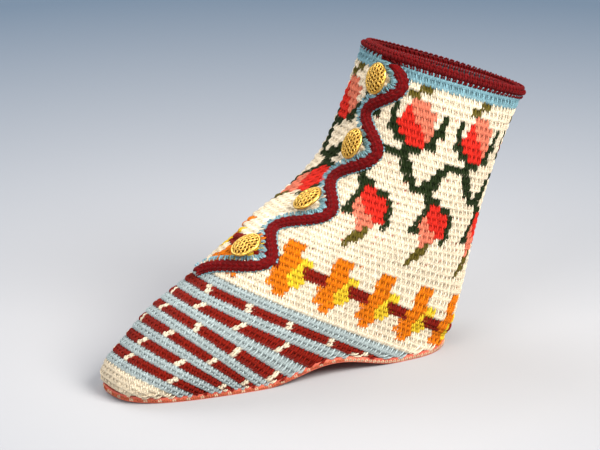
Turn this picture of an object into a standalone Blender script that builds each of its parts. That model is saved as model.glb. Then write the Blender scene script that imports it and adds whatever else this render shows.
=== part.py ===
"""Toddler's left bootie: crocheted upper on a thin leather sole, with a scalloped flap and gilt buttons.

Toe toward -Y, outer side toward +X, +Z up, origin on the floor under the middle of the bootie.
The tables and functions work in millimetres, as forward (from the heel seat to the toe), lateral
(outer side positive) and up. MM and place() turn them into metres in the part's frame.
"""
import math

import bmesh
import bpy
import numpy as np
from mathutils import Matrix, Vector

# Driving sizes
MM = 0.001
GAP = 0.3
MIDDLE_FORWARD = 48.29
WALL = 2.2
SOLE_THICK = 2.0
SOLE_MARGIN = 0.7
INSOLE_THICK = 1.4
INSOLE_INSET = 3.4
FRONT_POWER = 2.3
LEAST_BELLY = 1.001

# Sole: rests, arch, toe spring and outline
HEEL_REST = (4.0, 27.0)
FOREFOOT_REST = (84.0, 112.0)
ARCH_RISE = 5.0
TOE_SPRING = 1.0
HEEL_BACK = -1.0
HEEL_WIDEST = 22.0
TOE_FROM = 45.0
TOE_END = 132.6
SOLE_HALF = 24.2
HEEL_POWER = 2.3
TOE_RISE_POWER = 1.7
TOE_ROUND_POWER = 3.0

# Edgings, flap and buttons
COLLAR_TALL = 4.2
COLLAR_PROUD = 0.8
COLLAR_ARCS = ("inner_back", "inner_front", "outer_front", "outer_back")
FLAP_THICK = 1.8
FLAP_ROOT = -24.0
FLAP_BLEND = 15.0
FLAP_THIN = 0.3
FLAP_NARROWS_FROM = 76.0
FLAP_TIP = 2.0
EDGING_WIDE = 5.0
EDGING_TALL = 2.8
EDGING_SIDE_TALL = 0.5
LOBE_DOWNS = (11.0, 36.5, 65.0, 94.0)
SCALLOP_DEPTH = 10.5
SCALLOP_MIDDLE = 9.75
TAIL_END_DOWN = 110.5
TAIL_END_AROUND = -3.0
LEVEL_START = 6.0
BUTTON_AROUND = 8.0
BUTTON_TILT = math.radians(18.0)
BUTTON_RADIUS = 5.85
BUTTON_TALL = 3.9
BUTTON_SHANK_RADIUS = 2.6
BUTTON_RIM = 0.8
BUTTON_DOME_TURNS = (0.0, 25.0, 50.0, 72.0)

# Mesh fineness
UPPER_COLUMNS = 36
FOOT_ROWS = 21
SHAFT_ROWS = 12
ARC_COLUMNS = 10
SWEEP_STEPS = 46
FLAP_COLUMNS = 7
EDGING_SIDES = 8
COLLAR_SIDES = 10
SOLE_STATIONS = 36
BUTTON_SIDES = 20

# The last as rows from toe to collar. Each row is a slanting plane across the foot, from a front point
# on the ridge to a back point; a back height of None lies on the sole, a front height of None too.
# widest is the share of the row, from front to back, at which it reaches its half width, and back_power
# is how square it is behind that.
# Columns: name, front_forward, front_up, back_forward, back_up, half_width, widest, back_power.
SECTIONS = (
    ("toe_edge", 132.4, None, 132.0, None, 5.0, 0.97, 3.0),
    ("toe_cap", 133.0, 5.5, 128.6, None, 11.0, 0.97, 3.0),
    ("toe", 131.6, 10.0, 118.5, None, 15.6, 0.95, 3.0),
    ("toe_box", 123.5, 17.9, 100.5, None, 19.6, 0.90, 3.0),
    ("ball", 112.0, 27.8, 82.0, None, 22.4, 0.84, 3.0),
    ("vamp", 100.5, 34.0, 54.0, None, 24.4, 0.76, 3.0),
    ("throat", 91.0, 40.4, 18.0, None, 25.3, 0.59, 3.0),
    ("instep", 84.5, 44.3, 4.0, None, 25.9, 0.53, 3.0),
    ("heel_end", 79.5, 47.0, -1.0, None, 26.3, 0.51, 3.0),
    ("counter", 68.0, 52.3, -6.5, 17.5, 27.5, 0.50, 2.8),
    ("heel", 57.0, 57.5, -10.0, 30.5, 28.4, 0.50, 2.5),
    ("ankle", 39.5, 70.7, -15.5, 49.5, 27.5, 0.50, 2.3),
    ("shaft", 30.0, 88.0, -22.0, 66.5, 26.2, 0.50, 2.3),
    ("collar", 21.5, 112.0, -36.6, 89.6, 21.8, 0.50, 2.2),
)
SECTION_NAMES = [section[0] for section in SECTIONS]
HEEL_END_ROW = SECTION_NAMES.index("heel_end")
COLLAR_ROW = len(SECTIONS) - 1

# Loop fractions used to measure along a row, finer at its ends
LOOP_SAMPLES = 0.5 - 0.5 * np.cos(np.linspace(0.0, np.pi, 161))


# Sole heights and outline
def sole_under(forward):
    """Height of the sole's underside: flat at heel and forefoot, lifted at the arch and the toe."""
    toe = np.clip((forward - FOREFOOT_REST[1]) / (TOE_END - FOREFOOT_REST[1]), 0.0, 1.0)
    arch = np.clip((forward - HEEL_REST[1]) / (FOREFOOT_REST[0] - HEEL_REST[1]), 0.0, 1.0)
    return TOE_SPRING * toe ** 2 + ARCH_RISE * np.sin(np.pi * arch) ** 2


def sole_top(forward):
    """Height at which the upper and the insole rest, a gap above the sole."""
    return sole_under(forward) + SOLE_THICK + GAP


def sole_half(forward):
    """Half width of the foot's outline on the sole: a round heel, a straight waist and a long round toe."""
    heel = np.clip((HEEL_WIDEST - forward) / (HEEL_WIDEST - HEEL_BACK), 0.0, 1.0)
    toe = np.clip((forward - TOE_FROM) / (TOE_END - TOE_FROM), 0.0, 1.0)
    round_heel = (1.0 - heel ** HEEL_POWER) ** (1.0 / HEEL_POWER)
    round_toe = (1.0 - toe ** TOE_RISE_POWER) ** (1.0 / TOE_ROUND_POWER)
    return SOLE_HALF * round_heel * round_toe


# The last's surface
def section_table():
    """SECTIONS as numbers, with None replaced by the height of the sole there."""
    rows = []
    for _, front_forward, front_up, back_forward, back_up, *shape in SECTIONS:
        front_up = sole_top(front_forward) if front_up is None else front_up
        back_up = sole_top(back_forward) if back_up is None else back_up
        rows.append((front_forward, front_up, back_forward, back_up, *shape))
    return np.array(rows)


TABLE = section_table()


def smooth(values, row):
    """Monotone cubic through values at whole rows."""
    steps = np.diff(values)
    slopes = np.empty(len(values))
    slopes[0], slopes[-1] = steps[0], steps[-1]
    before, after = steps[:-1], steps[1:]
    same_way = before * after > 0.0
    total = np.where(same_way, before + after, 1.0)
    slopes[1:-1] = np.where(same_way, 2.0 * before * after / total, 0.0)
    low = np.clip(np.floor(row).astype(int), 0, len(values) - 2)
    part = row - low
    rest = 1.0 - part
    return (values[low] * (1.0 + 2.0 * part) * rest ** 2 + slopes[low] * part * rest ** 2
            + values[low + 1] * part ** 2 * (3.0 - 2.0 * part) - slopes[low + 1] * part ** 2 * rest)


def row_shape(row):
    """Front and back points, half width, widest share, back power and wrap (loop fraction at the end)."""
    row = np.asarray(row, dtype=float)
    columns = [smooth(column, row) for column in TABLE.T]
    front_forward, front_up, back_forward, back_up, half, widest, back_power = columns
    on_sole = row <= HEEL_END_ROW
    edge_half = np.where(on_sole, sole_half(back_forward), 0.0)
    back_up = np.where(on_sole, sole_top(back_forward), back_up)
    half = np.maximum(half, edge_half * LEAST_BELLY)
    wrap = 0.5 + 0.5 * (1.0 - (edge_half / half) ** back_power) ** (1.0 / back_power)
    return front_forward, front_up, back_forward, back_up, half, widest, back_power, wrap


def row_points(row, loop):
    """Points on the outer side of rows at loop fractions from 0 (ridge) over 0.5 (widest) to wrap."""
    front_forward, front_up, back_forward, back_up, half, widest, back_power, wrap = row_shape(row)
    in_front = loop < 0.5
    behind = widest + (1.0 - widest) * (loop - 0.5) / (wrap - 0.5)
    along = np.where(in_front, 2.0 * widest * loop, behind)
    power = np.where(in_front, FRONT_POWER, back_power)
    bulge = np.clip(1.0 - np.abs(1.0 - 2.0 * loop) ** power, 0.0, None)
    return np.stack([front_forward + (back_forward - front_forward) * along,
                     half * bulge ** (1.0 / power),
                     front_up + (back_up - front_up) * along], axis=-1)


def row_lengths(row):
    """Loop fractions on one row, and the length of the row from the front ridge to each of them."""
    loop = LOOP_SAMPLES * row_shape(row)[-1]
    points = row_points(row, loop)
    steps = np.linalg.norm(np.diff(points, axis=0), axis=1)
    return loop, np.concatenate([[0.0], np.cumsum(steps)])


def point_on_row(row, around):
    """Points on one row at lengths around it from the front ridge, outer side positive."""
    loop, lengths = row_lengths(row)
    points = row_points(row, np.interp(np.abs(around), lengths, loop))
    points[:, 1] *= np.sign(around)
    return points


FINE_ROWS = np.linspace(COLLAR_ROW, 0.0, 521)
RIDGE_STEPS = np.linalg.norm(np.diff(row_points(FINE_ROWS, np.zeros(521)), axis=0), axis=1)
RIDGE_LENGTHS = np.concatenate([[0.0], np.cumsum(RIDGE_STEPS)])


def row_at(down):
    """Row that crosses the front ridge at a length down from the collar."""
    return np.interp(down, RIDGE_LENGTHS, FINE_ROWS)


def cloth(down, around, lift):
    """Point of the upper's outside at (down, around), lifted along its normal."""
    reach = 0.2
    across = np.array([around, around - reach, around + reach])
    here = point_on_row(float(row_at(down)), across)
    above = point_on_row(float(row_at(max(down - reach, 0.0))), across[:1])[0]
    below = point_on_row(float(row_at(down + reach)), across[:1])[0]
    normal = np.cross(here[2] - here[1], above - below)
    return here[0] + lift * normal / np.linalg.norm(normal)


# Meshes and objects
def place(point):
    """Forward, lateral, up in millimetres to the part's frame in metres."""
    forward, lateral, up = point
    return Vector((lateral, MIDDLE_FORWARD - forward, up)) * MM


def add_object(name, mesh, material, smooth_angle=40.0):
    """Finish a bmesh as a named object with one material."""
    bmesh.ops.recalc_face_normals(mesh, faces=mesh.faces[:])
    data = bpy.data.meshes.new(name)
    mesh.to_mesh(data)
    mesh.free()
    data.shade_smooth()
    data.set_sharp_from_angle(angle=math.radians(smooth_angle))
    data.materials.append(material)
    item = bpy.data.objects.new(name, data)
    bpy.context.collection.objects.link(item)
    return item


def loft(mesh, loops, closed_loops):
    """Quads between neighbouring loops of points, each loop open or closed on itself."""
    rings = [[mesh.verts.new(place(point)) for point in loop] for loop in loops]
    count = len(rings[0])
    for lower, upper in zip(rings, rings[1:]):
        for k in range(count if closed_loops else count - 1):
            after = (k + 1) % count
            mesh.faces.new((lower[k], lower[after], upper[after], upper[k]))
    return rings


def add_material(name, colour, roughness, metallic=0.0):
    """Principled material of one colour."""
    material = bpy.data.materials.new(name)
    material.use_nodes = True
    shader = material.node_tree.nodes["Principled BSDF"]
    shader.inputs["Base Color"].default_value = (*colour, 1.0)
    shader.inputs["Roughness"].default_value = roughness
    shader.inputs["Metallic"].default_value = metallic
    return material


# Sole pieces
def sole_outline(offset):
    """Stations of the foot's outline moved outward by offset: forward and half width, heel to toe."""
    turn = np.linspace(0.0, np.pi, SOLE_STATIONS)
    forward = HEEL_BACK + (TOE_END - HEEL_BACK) * (0.5 - 0.5 * np.cos(turn))
    half = sole_half(forward)
    run = np.gradient(forward)
    rise = np.gradient(half)
    run[0] = run[-1] = 0.0
    size = np.hypot(run, rise)
    forward = forward - offset * rise / size
    half = half + offset * run / size
    half[0] = half[-1] = 0.0
    return forward, half


def add_plate(name, offset, lowest, thick, material):
    """Flat-across plate on the sole's outline: lowest gives its underside's height along the foot."""
    mesh = bmesh.new()
    loops = []
    for forward, half in zip(*sole_outline(offset)):
        bottom = float(lowest(forward))
        corners = ((-half, bottom), (half, bottom), (half, bottom + thick), (-half, bottom + thick))
        loops.append([(forward, lateral, up) for lateral, up in corners])
    loft(mesh, loops, closed_loops=True)
    bmesh.ops.remove_doubles(mesh, verts=mesh.verts[:], dist=0.01 * MM)
    return add_object(name, mesh, material)


# Upper
def upper_rows():
    """Rows of the upper from the toe to just under the collar's edging, closer where the heel turns in."""
    top = float(row_at(COLLAR_TALL + GAP))
    toe_row = SECTION_NAMES.index("toe")
    toe = np.linspace(0.0, toe_row, 6)
    along_sole = np.linspace(TABLE[toe_row, 2], TABLE[HEEL_END_ROW - 1, 2], FOOT_ROWS + 1)[1:]
    fine = np.linspace(HEEL_END_ROW - 1, toe_row, 201)
    foot = np.interp(along_sole, row_shape(fine)[2], fine)
    turn = HEEL_END_ROW - 1 + np.sin(np.linspace(0.0, np.pi / 2, 4)[1:])
    shaft = np.linspace(HEEL_END_ROW, top, SHAFT_ROWS + 1)[1:]
    return np.concatenate([toe, foot, turn, shaft])


def add_upper(material):
    """Hollow wall over the last, open at the collar and along the sole's edge."""
    mesh = bmesh.new()
    loops = []
    for row in upper_rows():
        reach = row_lengths(float(row))[1][-1]
        loops.append(point_on_row(float(row), np.linspace(-reach, reach, UPPER_COLUMNS + 1)))
    loft(mesh, loops, closed_loops=False)
    bmesh.ops.remove_doubles(mesh, verts=mesh.verts[:], dist=0.01 * MM)
    item = add_object("upper", mesh, material)
    wall = item.modifiers.new("wall", "SOLIDIFY")
    wall.thickness = WALL * MM
    wall.offset = -1.0
    wall.use_even_offset = True
    return item


# Flap and edgings
def ease(value):
    """Smooth step from 0 to 1."""
    value = min(max(value, 0.0), 1.0)
    return value * value * (3.0 - 2.0 * value)


def scallop(down):
    """Around-position of the flap edging's middle: round lobes, then the tail across the ridge."""
    reach = 0.5 * SCALLOP_DEPTH
    last_lobe = LOBE_DOWNS[-1]
    if down <= last_lobe:
        first_step = LOBE_DOWNS[1] - LOBE_DOWNS[0]
        turn = np.interp(down, (LOBE_DOWNS[0] - first_step, *LOBE_DOWNS), range(len(LOBE_DOWNS) + 1))
        return SCALLOP_MIDDLE + reach * math.cos(2.0 * math.pi * turn)
    fall = min((down - last_lobe) / (TAIL_END_DOWN - last_lobe), 1.0)
    start = SCALLOP_MIDDLE + reach
    return TAIL_END_AROUND + (start - TAIL_END_AROUND) * (0.5 + 0.5 * math.cos(math.pi * fall))


def scallop_route():
    """Down and around of points along the edging's middle, each with its direction toward the flap."""
    start = COLLAR_TALL + GAP
    reach = 0.05
    route = []
    for down in np.linspace(start, TAIL_END_DOWN, SWEEP_STEPS):
        slope = (scallop(down + reach) - scallop(down - reach)) / (2.0 * reach)
        slope *= ease((down - start) / LEVEL_START)
        size = math.hypot(1.0, slope)
        route.append((down, scallop(down), slope / size, -1.0 / size))
    return route


def flap_lift(share):
    """Height of the flap's outside from its root (share 0) to its scalloped edge (share 1)."""
    width = SCALLOP_MIDDLE - FLAP_ROOT
    return GAP + FLAP_THIN + (FLAP_THICK - FLAP_THIN) * ease(share * width / FLAP_BLEND)


def add_flap(material):
    """Scalloped sheet over the upper, thinning to nothing where it grows out of the inner side."""
    mesh = bmesh.new()
    outside, inside = [], []
    back_off = 0.5 * EDGING_WIDE + GAP
    for down, around, side_down, side_around in scallop_route():
        edge = np.array([down + side_down * back_off, around + side_around * back_off])
        narrow = ease((down - FLAP_NARROWS_FROM) / (TAIL_END_DOWN - FLAP_NARROWS_FROM))
        root = np.array([down, FLAP_ROOT + (edge[1] - FLAP_TIP - FLAP_ROOT) * narrow])
        shares = np.linspace(0.0, 1.0, FLAP_COLUMNS + 1)
        spots = [root + (edge - root) * share for share in shares]
        outside.append([cloth(*spot, flap_lift(share)) for spot, share in zip(spots, shares)])
        inside.append([cloth(*spot, GAP) for spot in spots])
    loops = [lower + upper[::-1] for lower, upper in zip(inside, outside)]
    rings = loft(mesh, loops, closed_loops=True)
    mesh.faces.new(rings[0])
    mesh.faces.new(rings[-1])
    bmesh.ops.triangulate(mesh, faces=[face for face in mesh.faces if len(face.verts) > 4])
    return add_object("button_flap", mesh, material)


def add_flap_edging(material):
    """Raised half-round braid along the scallops."""
    mesh = bmesh.new()
    loops = []
    for down, around, side_down, side_around in scallop_route():
        loop = []
        for turn in np.linspace(0.0, math.pi, EDGING_SIDES):
            across = 0.5 * EDGING_WIDE * math.cos(turn)
            lift = GAP + EDGING_SIDE_TALL + (EDGING_TALL - EDGING_SIDE_TALL) * math.sin(turn)
            loop.append(cloth(down + side_down * across, around + side_around * across, lift))
        for across in (-0.5 * EDGING_WIDE, 0.0, 0.5 * EDGING_WIDE):
            loop.append(cloth(down + side_down * across, around + side_around * across, GAP))
        loops.append(loop)
    rings = loft(mesh, loops, closed_loops=True)
    mesh.faces.new(rings[0])
    mesh.faces.new(rings[-1])
    return add_object("flap_edging", mesh, material)


def collar_proud(around):
    """How far the collar's edging stands out: further where it runs over the flap."""
    past_root = ease((around - FLAP_ROOT) / FLAP_BLEND)
    before_edge = ease((scallop(COLLAR_TALL) + EDGING_WIDE - around) / EDGING_WIDE)
    return COLLAR_PROUD + FLAP_THICK * past_root * before_edge


def add_collar_edging(number, material):
    """One of the arcs of the rolled ring on the upper's top rim, counted from the back over the inner side."""
    mesh = bmesh.new()
    loops = []
    for share in np.linspace(0.0, 1.0, ARC_COLUMNS + 1):
        loop = []
        for turn in np.linspace(0.0, 2.0 * math.pi, COLLAR_SIDES, endpoint=False):
            down = 0.5 * COLLAR_TALL * (1.0 - math.cos(turn))
            half_round = row_lengths(float(row_at(down)))[1][-1]
            arc = 2.0 * half_round / len(COLLAR_ARCS)
            around = number * arc - half_round + 0.5 * GAP + (arc - GAP) * share
            proud = collar_proud(around)
            middle = 0.5 * (proud - WALL)
            spread = 0.5 * (proud + WALL) + 0.5 * COLLAR_PROUD
            loop.append(cloth(down, around, middle + spread * math.sin(turn)))
        loops.append(loop)
    rings = loft(mesh, loops, closed_loops=True)
    mesh.faces.new(rings[0])
    mesh.faces.new(rings[-1])
    return add_object("collar_edging_" + COLLAR_ARCS[number], mesh, material)


# Buttons
def button_mesh():
    """Turned button: a back narrowing to its shank, a plain rim and a low dome."""
    rim_inner = BUTTON_RADIUS - BUTTON_RIM
    rim_under = 0.45 * BUTTON_TALL
    rim_top = 0.6 * BUTTON_TALL
    profile = [(0.0, 0.0), (BUTTON_SHANK_RADIUS, 0.0), (BUTTON_RADIUS, rim_under), (BUTTON_RADIUS, rim_top)]
    for turn in np.radians(BUTTON_DOME_TURNS):
        height = rim_top + (BUTTON_TALL - rim_top) * math.sin(turn)
        profile.append((rim_inner * math.cos(turn), height))
    profile.append((0.0, BUTTON_TALL))
    mesh = bmesh.new()
    verts = [mesh.verts.new((radius * MM, 0.0, height * MM)) for radius, height in profile]
    edges = [mesh.edges.new(pair) for pair in zip(verts, verts[1:])]
    bmesh.ops.spin(mesh, geom=verts + edges, axis=(0, 0, 1), cent=(0, 0, 0), angle=2.0 * math.pi,
                   steps=BUTTON_SIDES, use_duplicate=False)
    bmesh.ops.remove_doubles(mesh, verts=mesh.verts[:], dist=0.01 * MM)
    return mesh


def add_button(number, material):
    """One button, seated on the flap in its scallop and tilted from the cloth's normal toward the ridge."""
    down = LOBE_DOWNS[number - 1]
    seat_lift = GAP + FLAP_THICK + GAP + BUTTON_SHANK_RADIUS * math.sin(BUTTON_TILT)
    seat = place(cloth(down, BUTTON_AROUND, seat_lift))
    outward = (place(cloth(down, BUTTON_AROUND, seat_lift + 1.0)) - seat).normalized()
    downward = place(cloth(down + 1.0, BUTTON_AROUND, seat_lift)) - seat
    tilt = Matrix.Rotation(BUTTON_TILT, 4, downward.normalized())
    item = add_object("button_%d" % number, button_mesh(), material)
    item.matrix_world = Matrix.Translation(seat) @ tilt @ outward.to_track_quat("Z", "Y").to_matrix().to_4x4()
    return item


# The bootie
for old in list(bpy.data.objects):
    bpy.data.objects.remove(old, do_unlink=True)

cream_cotton = add_material("cream_cotton", (0.87, 0.75, 0.55), 0.9)
flap_cotton = add_material("flap_cotton", (0.87, 0.75, 0.55), 0.9)
maroon_cotton = add_material("maroon_cotton", (0.17, 0.012, 0.013), 0.9)
coral_leather = add_material("coral_leather", (0.5, 0.1, 0.055), 0.65)
lining_felt = add_material("lining_felt", (0.75, 0.62, 0.5), 0.95)
gilt_brass = add_material("gilt_brass", (0.6, 0.38, 0.09), 0.3, metallic=1.0)

add_plate("outsole", SOLE_MARGIN, sole_under, SOLE_THICK, coral_leather)
add_plate("insole", -INSOLE_INSET, sole_top, INSOLE_THICK, lining_felt)
add_upper(cream_cotton)
add_flap(flap_cotton)
add_flap_edging(maroon_cotton)
for arc_number in range(len(COLLAR_ARCS)):
    add_collar_edging(arc_number, maroon_cotton)
for button_number in range(1, len(LOBE_DOWNS) + 1):
    add_button(button_number, gilt_brass)
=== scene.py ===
"""Looks of a toddler's left bootie: crocheted cotton on a thin leather sole, with a scalloped flap.

Lengths are in millimetres as forward (heel seat to toe), lateral (outer side positive) and up, and place()
turns them into metres in the part's frame. On the cloth they are down (from the collar along the front
ridge) and around (from the ridge, outer side positive).
"""

import functools
import math

import bmesh
import bpy
import numpy as np
from mathutils import Matrix, Vector


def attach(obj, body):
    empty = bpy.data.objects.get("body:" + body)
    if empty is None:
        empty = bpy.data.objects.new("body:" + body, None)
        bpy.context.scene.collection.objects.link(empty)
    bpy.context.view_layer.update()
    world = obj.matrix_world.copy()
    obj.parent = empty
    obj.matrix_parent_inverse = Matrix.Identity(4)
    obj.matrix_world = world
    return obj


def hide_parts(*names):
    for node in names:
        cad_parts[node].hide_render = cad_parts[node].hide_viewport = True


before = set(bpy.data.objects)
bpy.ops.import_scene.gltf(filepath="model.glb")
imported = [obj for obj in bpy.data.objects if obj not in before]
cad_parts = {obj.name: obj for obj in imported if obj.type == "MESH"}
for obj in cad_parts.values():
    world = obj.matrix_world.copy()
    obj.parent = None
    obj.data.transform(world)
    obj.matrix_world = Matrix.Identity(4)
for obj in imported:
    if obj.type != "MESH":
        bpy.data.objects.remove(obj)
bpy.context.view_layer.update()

# Outsole
# A thin sole of coral leather with a lifted arch and a little toe spring, cut to the foot's outline.
# It is whipstitched round its edge to the upper.
MM = 0.001
# Hairline between pieces that lie on one another
GAP = 0.3
MIDDLE_FORWARD = 48.29
SOLE_THICK = 2.0
SOLE_MARGIN = 0.7
SOLE_EDGE_ROUND = 0.55
SOLE_WORN = 0.4
HEEL_REST = (4.0, 27.0)
FOREFOOT_REST = (84.0, 112.0)
ARCH_RISE = 5.0
TOE_SPRING = 1.0
HEEL_BACK = -1.0
HEEL_WIDEST = 22.0
TOE_FROM = 45.0
TOE_END = 132.6
SOLE_HALF = 24.2
HEEL_POWER = 2.3
TOE_RISE_POWER = 1.7
TOE_ROUND_POWER = 3.0
SOLE_STATIONS = 72
SOLE_ACROSS = 14
# Points closer than this become one
MERGE = 0.02


def place(points):
    """Forward, lateral, up in millimetres to the part's frame in metres."""
    points = np.asarray(points, dtype=float)
    return np.stack([points[..., 1], MIDDLE_FORWARD - points[..., 0], points[..., 2]], axis=-1) * MM


def linear(red, green, blue):
    """Colour on the 0 to 255 screen scale as linear light."""
    return tuple((value / 255.0) ** 2.2 for value in (red, green, blue))


def sole_under(forward):
    """Height of the sole's underside: flat at heel and forefoot, lifted at the arch and the toe."""
    toe = np.clip((forward - FOREFOOT_REST[1]) / (TOE_END - FOREFOOT_REST[1]), 0.0, 1.0)
    arch = np.clip((forward - HEEL_REST[1]) / (FOREFOOT_REST[0] - HEEL_REST[1]), 0.0, 1.0)
    return TOE_SPRING * toe ** 2 + ARCH_RISE * np.sin(np.pi * arch) ** 2


def sole_top(forward):
    """Height at which the upper and the insole rest."""
    return sole_under(forward) + SOLE_THICK + GAP


def sole_half(forward):
    """Half width of the foot's outline: a round heel, a straight waist and a long round toe."""
    heel = np.clip((HEEL_WIDEST - forward) / (HEEL_WIDEST - HEEL_BACK), 0.0, 1.0)
    toe = np.clip((forward - TOE_FROM) / (TOE_END - TOE_FROM), 0.0, 1.0)
    round_heel = (1.0 - heel ** HEEL_POWER) ** (1.0 / HEEL_POWER)
    round_toe = (1.0 - toe ** TOE_RISE_POWER) ** (1.0 / TOE_ROUND_POWER)
    return SOLE_HALF * round_heel * round_toe


def sole_outline(offset, stations):
    """Stations of the outline moved outward by offset: forward and half width, heel to toe."""
    turn = np.linspace(0.0, np.pi, stations)
    forward = HEEL_BACK + (TOE_END - HEEL_BACK) * (0.5 - 0.5 * np.cos(turn))
    half = sole_half(forward)
    run = np.gradient(forward)
    rise = np.gradient(half)
    run[0] = run[-1] = 0.0
    size = np.hypot(run, rise)
    forward = forward - offset * rise / size
    half = half + offset * run / size
    half[0] = half[-1] = 0.0
    return forward, half


def link(name, data):
    """New object in the scene."""
    item = bpy.data.objects.new(name, data)
    bpy.context.scene.collection.objects.link(item)
    return item


def finish_piece(name, mesh, materials, replaced=()):
    """Link a mesh as a smooth piece that rides on the bootie, with its finish and the nodes it stands for."""
    if isinstance(mesh, bmesh.types.BMesh):
        data = bpy.data.meshes.new(name)
        mesh.to_mesh(data)
        mesh.free()
    else:
        data = mesh
    data.shade_smooth()
    for material in materials:
        data.materials.append(material)
    piece = link(name, data)
    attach(piece, "root")
    if replaced:
        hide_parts(*replaced)
    return piece


def sole_sheet(offset, height):
    """Grid sheet on the sole's outline, at a height that follows the foot."""
    mesh = bmesh.new()
    bmesh.ops.create_grid(mesh, x_segments=SOLE_STATIONS, y_segments=SOLE_ACROSS, size=0.5)
    forward, half = sole_outline(offset, SOLE_STATIONS + 1)
    for vert in mesh.verts:
        station = round((vert.co.x + 0.5) * SOLE_STATIONS)
        lateral = 2.0 * vert.co.y * half[station]
        vert.co = place((forward[station], lateral, height(forward[station])))
    bmesh.ops.remove_doubles(mesh, verts=mesh.verts[:], dist=MERGE * MM)
    return mesh


def add_wall(piece, thick, side):
    """Give a sheet its thickness, on its outer side (1.0) or its inner side (-1.0)."""
    wall = piece.modifiers.new("wall", "SOLIDIFY")
    wall.thickness = thick * MM
    wall.offset = side


def round_edges(piece, rounding):
    """Round the sharp edges of a piece."""
    edge = piece.modifiers.new("rounded edge", "BEVEL")
    edge.width = rounding * MM
    edge.segments = 3
    edge.limit_method = "ANGLE"
    edge.angle_limit = math.radians(50.0)


class Finish:
    """Node material with a Principled shader, on Object coordinates in metres."""

    def __init__(self, name, roughness, metallic=0.0):
        self.material = bpy.data.materials.new(name)
        self.material.use_nodes = True
        self.nodes = self.material.node_tree.nodes
        self.links = self.material.node_tree.links
        self.shader = self.nodes["Principled BSDF"]
        self.shader.inputs["Roughness"].default_value = roughness
        self.shader.inputs["Metallic"].default_value = metallic
        self.where = self.nodes.new("ShaderNodeTexCoord").outputs["Object"]

    def noise(self, scale, detail, rough=0.5):
        """Noise value at a scale in cells per metre."""
        node = self.nodes.new("ShaderNodeTexNoise")
        node.inputs["Scale"].default_value = scale
        node.inputs["Detail"].default_value = detail
        node.inputs["Roughness"].default_value = rough
        self.links.new(self.where, node.inputs["Vector"])
        return node.outputs["Fac"]

    def cells(self, scale):
        """Distance to the nearest of many points, for leather grain and pits."""
        node = self.nodes.new("ShaderNodeTexVoronoi")
        node.inputs["Scale"].default_value = scale
        self.links.new(self.where, node.inputs["Vector"])
        return node.outputs["Distance"]

    def ramp(self, value, stops):
        """Colours by value: stops are (position, colour)."""
        node = self.nodes.new("ShaderNodeValToRGB")
        while len(node.color_ramp.elements) < len(stops):
            node.color_ramp.elements.new(0.5)
        for element, (position, colour) in zip(node.color_ramp.elements, stops):
            element.position = position
            element.color = (*colour, 1.0)
        self.links.new(value, node.inputs["Fac"])
        return node.outputs["Color"]

    def attribute(self, name, output="Color"):
        """Value stored on the mesh."""
        node = self.nodes.new("ShaderNodeAttribute")
        node.attribute_name = name
        return node.outputs[output]

    def toned(self, colour, tone):
        """Colour deepened by most of a tone."""
        node = self.nodes.new("ShaderNodeMix")
        node.data_type = "RGBA"
        node.blend_type = "MULTIPLY"
        node.inputs["Factor"].default_value = 0.8
        self.links.new(colour, node.inputs[6])
        self.links.new(tone, node.inputs[7])
        return node.outputs[2]

    def math(self, way, first, second=0.0, third=0.0):
        """Arithmetic on numbers or sockets."""
        node = self.nodes.new("ShaderNodeMath")
        node.operation = way
        for socket, value in zip(node.inputs, (first, second, third)):
            if isinstance(value, bpy.types.NodeSocket):
                self.links.new(value, socket)
            else:
                socket.default_value = value
        return node.outputs[0]

    def colour(self, socket):
        """Use a colour socket as the surface's colour."""
        self.links.new(socket, self.shader.inputs["Base Color"])

    def rough(self, value, low, high):
        """Roughness from low to high as a value goes from 0 to 1."""
        spread = self.math("MULTIPLY_ADD", value, high - low, low)
        self.links.new(spread, self.shader.inputs["Roughness"])

    def bump(self, height, depth, strength):
        """Relief of a depth in metres from a height socket, on top of any relief before it."""
        node = self.nodes.new("ShaderNodeBump")
        node.inputs["Strength"].default_value = strength
        node.inputs["Distance"].default_value = depth
        self.links.new(height, node.inputs["Height"])
        before = self.shader.inputs["Normal"]
        if before.is_linked:
            self.links.new(before.links[0].from_socket, node.inputs["Normal"])
        self.links.new(node.outputs["Normal"], before)


leather = Finish("coral leather", 0.6)
patches = leather.noise(70.0, 5.0, 0.6)
leather_shades = leather.ramp(patches, ((0.3, linear(150, 58, 44)), (0.55, linear(188, 84, 64)),
                                        (0.75, linear(212, 116, 88))))
pores = leather.ramp(leather.cells(1500.0), ((0.0, (0.55, 0.5, 0.48)), (0.35, (1.0, 1.0, 1.0))))
leather.colour(leather.toned(leather_shades, pores))
leather.rough(patches, 0.5, 0.75)
leather.bump(leather.cells(1500.0), 0.0002, 0.6)
leather.bump(leather.noise(420.0, 4.0), 0.0003, 0.5)

outsole = finish_piece("leather_sole", sole_sheet(SOLE_MARGIN - SOLE_WORN, sole_under), [leather.material],
                       ["outsole"])
add_wall(outsole, SOLE_THICK, 1.0)
round_edges(outsole, SOLE_EDGE_ROUND)

# Insole
# A sock lining of thin pale felt, cut to the inside of the upper.
# It lies loose on the sole.
INSOLE_THICK = 1.4
INSOLE_INSET = 3.4
INSOLE_EDGE_ROUND = 0.4

felt = Finish("lining felt", 0.95)
felt_fibres = felt.noise(900.0, 6.0, 0.7)
felt.colour(felt.ramp(felt_fibres, ((0.3, linear(196, 172, 146)), (0.7, linear(232, 214, 190)))))
felt.bump(felt_fibres, 0.0004, 0.7)
felt.shader.inputs["Sheen Weight"].default_value = 0.3

insole = finish_piece("felt_insole", sole_sheet(-INSOLE_INSET, sole_top), [felt.material],
                      ["insole"])
add_wall(insole, INSOLE_THICK, 1.0)
round_edges(insole, INSOLE_EDGE_ROUND)

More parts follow.
